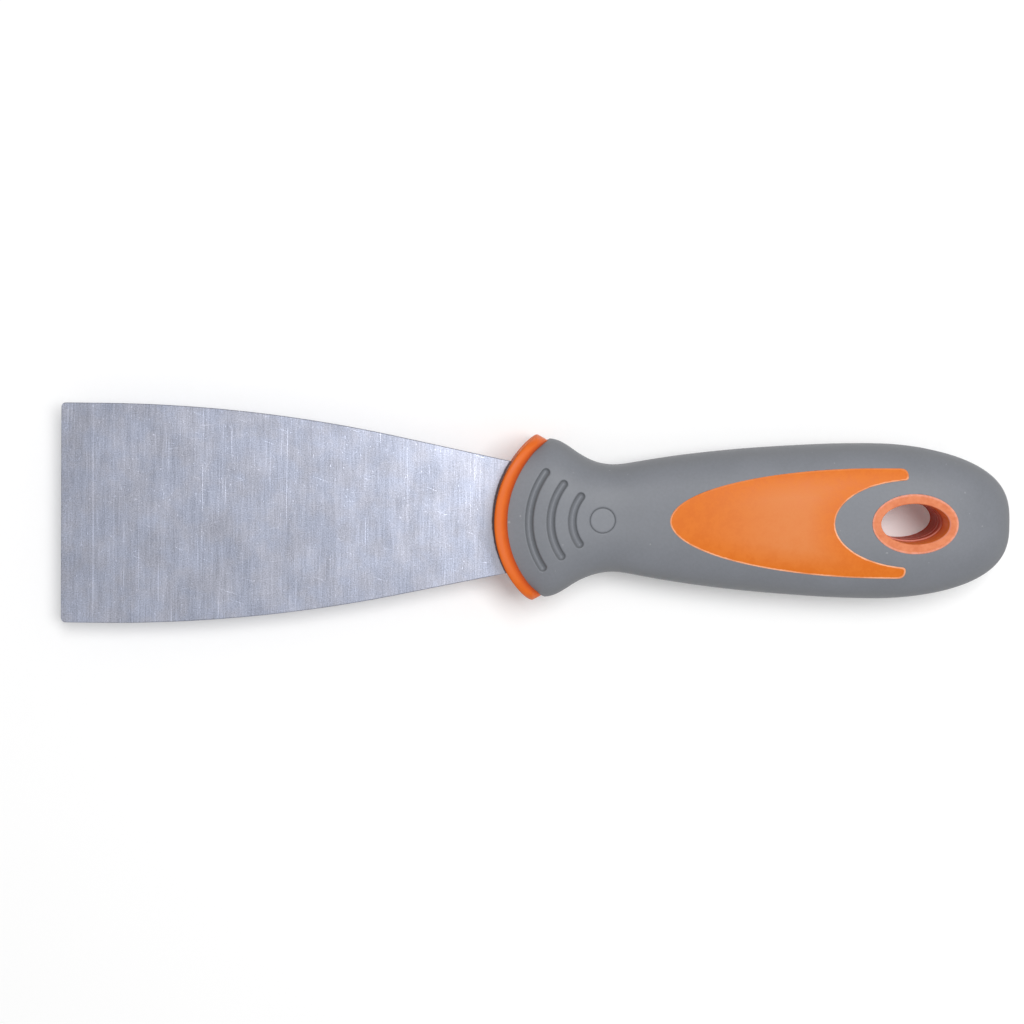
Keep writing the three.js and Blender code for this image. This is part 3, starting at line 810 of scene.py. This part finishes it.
def make_tang():
    """The blade's narrow end inside the handle, with its two holes."""
    w, end, cut, start = TANG_HALF_WIDTH, TANG_END_X, TANG_CHAMFER, BLADE_ROOT_X - TANG_OVERLAP
    half = [(start, w), (end - cut, w), (end, w - cut)]
    outline = half + [(x, -y) for x, y in reversed(half)]
    turns = np.linspace(0, 2 * math.pi, 49)[:-1]
    circle = [(TANG_HOLE_RADIUS * math.cos(a), TANG_HOLE_RADIUS * math.sin(a)) for a in turns]
    holes = [[(x + u, v) for u, v in circle] for x in TANG_HOLES_X]
    curve = bpy.data.curves.new("tang_curve", "CURVE")
    curve.dimensions, curve.fill_mode = "2D", "BOTH"
    for loop in [outline, *holes]:
        spline = curve.splines.new("POLY")
        spline.points.add(len(loop) - 1)
        spline.points.foreach_set("co", [c for x, y in loop for c in (x * MM, y * MM, 0, 1)])
        spline.use_cyclic_u = True
    curve.extrude = BLADE_HALF_THICKNESS * MM
    shaped = bpy.data.objects.new("tang_curve", curve)
    bpy.context.scene.collection.objects.link(shaped)
    mesh = bpy.data.meshes.new_from_object(shaped.evaluated_get(bpy.context.evaluated_depsgraph_get()))
    bpy.data.objects.remove(shaped)
    bm = bmesh.new()
    bm.from_mesh(mesh)
    bmesh.ops.remove_doubles(bm, verts=bm.verts, dist=0.01 * MM)
    bmesh.ops.recalc_face_normals(bm, faces=bm.faces)
    bm.to_mesh(mesh)
    bm.free()
    mesh.name = "blade_tang_end"
    mesh.transform(Matrix.Translation((0, 0, MID_Z * MM)))
    piece = bpy.data.objects.new("blade_tang_end", mesh)
    bpy.context.scene.collection.objects.link(piece)
    rest = mesh.attributes.new("rest_mm", "FLOAT_VECTOR", "POINT")
    rest.data.foreach_set("vector", points_of(piece).astype(np.float32).ravel())
    return piece


# ---- The pieces ----
HANDLE_END = END_X + 0.8
grip, _ = moulded("soft_grip", grip_field, (-8, 0, 0), (HANDLE_END, 18.6, 11.2), HANDLE_MESH, "yz")
core_top, at = moulded("core_upper", core_field, (-8, 0, -0.4), (HANDLE_END - 1, 16.4, 11.2), HANDLE_MESH, "y")
x, y, z = at.T
in_ring = ellipse(x, y, HOLE_X, RING_SIZE)
on_top = (handle(x, y, z) > -0.6) & (in_ring > 0.5)
from_bore = np.abs(bore_field(x, y, z))
pad_edge = np.where(on_top, pad_outline(x, y), -5)
add_attribute(core_top, "pad_edge", pad_edge)
# Where the pad is painted paler, for sheen and wear
middle, spread, inside = WEAR_AND_SHEEN_PATCH
add_attribute(core_top, "wear_and_sheen", np.exp(-(((x - middle) / spread) ** 2)) * np.clip(-pad_edge / inside, 0, 1))
near_cut = np.clip(1 - (ellipse(x, y, HOLE_X, PAD_CUT_SIZE) - 0.5) / 0.5, 0, 1)
add_attribute(core_top, "flash", np.maximum(np.clip(0.7 - y / 7, 0.15, 1), 0.75 * near_cut))
add_attribute(core_top, "ring_edge", in_ring)
add_attribute(core_top, "on_ring", np.clip((0.3 - in_ring) / 0.1, 0, 1) * np.clip((z - 8) / 0.2, 0, 1))
below_ring = np.clip((RING_TOP - 0.12 - z) / 0.15, 0, 1)
add_attribute(core_top, "in_bore", np.clip((0.45 - from_bore) / 0.2, 0, 1) * below_ring)
core_bottom = mirrored(core_top, "core_lower")

collar, at = moulded("front_collar", collar_field, (-10.4, 0, 0), (4.4, 19.4, 11.4), COLLAR_MESH, "yz")
collar.data.transform(Matrix.Translation((0, COLLAR_SHIFT * MM, 0)))
x, y, z = at.T
# Where the collar's back is painted with shade, in the crease against the grip
at_back = np.clip(1 - (collar_back(x, y) - 0.3) / 1.1, 0, 1)
add_attribute(collar, "painted_crease_shade", at_back * np.clip((np.abs(z) - 2) / 4, 0, 1))
front = behind_arc(x, y, COLLAR_FRONT)
add_attribute(collar, "at_front", np.clip((front + 0.3) / 0.2, 0, 1))
# Where the collar's front wall is painted with shade
add_attribute(collar, "painted_front_wall_shade", np.clip((front + 0.16) / 0.14, 0, 1) * np.clip(15 - np.abs(y), 0, 1))

plug_box = (PLUG_X - 3.6, 0, PLUG_FOOT - 0.6), (PLUG_X + 3.6, 3.6, PLUG_FOOT + 4)
plug_top, _ = moulded("plug_upper", plug_field, *plug_box, PLUG_MESH, "y")
plug_bottom = mirrored(plug_top, "plug_lower")

orange, steel_finish = core_orange(), steel()
grip_grey = rubber("grip_rubber", palette(117, 120, 126), palette(126, 129, 136))
plug_grey = rubber("plug_rubber", palette(121, 124, 130), palette(130, 133, 140))
for piece, material, slot, node in [
    (grip, grip_grey, "grip_rubber", "grip"),
    (core_top, orange, "core_plastic", "core_top"),
    (core_bottom, orange, "core_plastic", "core_bottom"),
    (collar, collar_orange(), "collar_plastic", "collar"),
    (plug_top, plug_grey, "plug_rubber", "rivet_plug_top"),
    (plug_bottom, plug_grey, "plug_rubber", "rivet_plug_bottom"),
]:
    give(piece, material)
    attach(piece, "handle")
    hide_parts(node)
for piece in make_blade():
    give(piece, steel_finish)
tang = make_tang()
give(tang, steel_finish)
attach(tang, "handle")
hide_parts("blade_tang")
give(frame["nodes"]["tang_rivet"], zinc())

# ---- Stage, light and camera ----
bpy.ops.mesh.primitive_plane_add(size=6)
floor = bpy.context.object
floor.name = "floor"
white = Nodes("floor_white")
white.set(white.shader, {"Emission Color": (1, 1, 1, 1), "Emission Strength": FLOOR_GLOW})
floor.data.materials.append(white.finish(Base_Color=(0.9, 0.9, 0.9, 1), Roughness=0.8, Specular_IOR_Level=0.2))


def softbox(name, place, aim, size, watts):
    light = bpy.data.lights.new(name, "AREA")
    light.shape, light.size, light.size_y, light.energy = "RECTANGLE", *size, watts
    lamp = bpy.data.objects.new(name, light)
    bpy.context.scene.collection.objects.link(lamp)
    lamp.location = place
    lamp.rotation_euler = (Vector(aim) - Vector(place)).to_track_quat("-Z", "Y").to_euler()


softbox("key", KEY_PLACE, (0, 0, 0), KEY_SIZE, KEY_WATTS)
world = bpy.data.worlds.new("studio")
world.use_nodes = True
tree = world.node_tree
back = next(n for n in tree.nodes if n.type == "BACKGROUND")
direction = tree.nodes.new("ShaderNodeTexCoord").outputs["Generated"]
parts = tree.nodes.new("ShaderNodeSeparateXYZ")
ramp = tree.nodes.new("ShaderNodeValToRGB")
tree.links.new(direction, parts.inputs[0])
tree.links.new(parts.outputs[2], ramp.inputs[0])
tree.links.new(ramp.outputs[0], back.inputs["Color"])
stops = ramp.color_ramp.elements
while len(stops) < len(DOME):
    stops.new(0.5)
for stop, (height, brightness) in zip(stops, DOME):
    stop.position, stop.color = height, (brightness, brightness, brightness, 1)
bpy.context.scene.world = world
bpy.context.scene.view_settings.view_transform = "Standard"

lens = bpy.data.cameras.new("camera")
lens.lens, lens.sensor_width = LENS_MM, SENSOR_MM
lens.shift_x, lens.shift_y = LENS_SHIFT
camera = bpy.data.objects.new("camera", lens)
bpy.context.scene.collection.objects.link(camera)
camera.location = (CAMERA_MM[0] * MM, CAMERA_MM[1] * MM, (MID_Z + CAMERA_MM[2]) * MM)
camera.rotation_euler = (0, 0, CAMERA_TURN)
bpy.context.scene.camera = camera
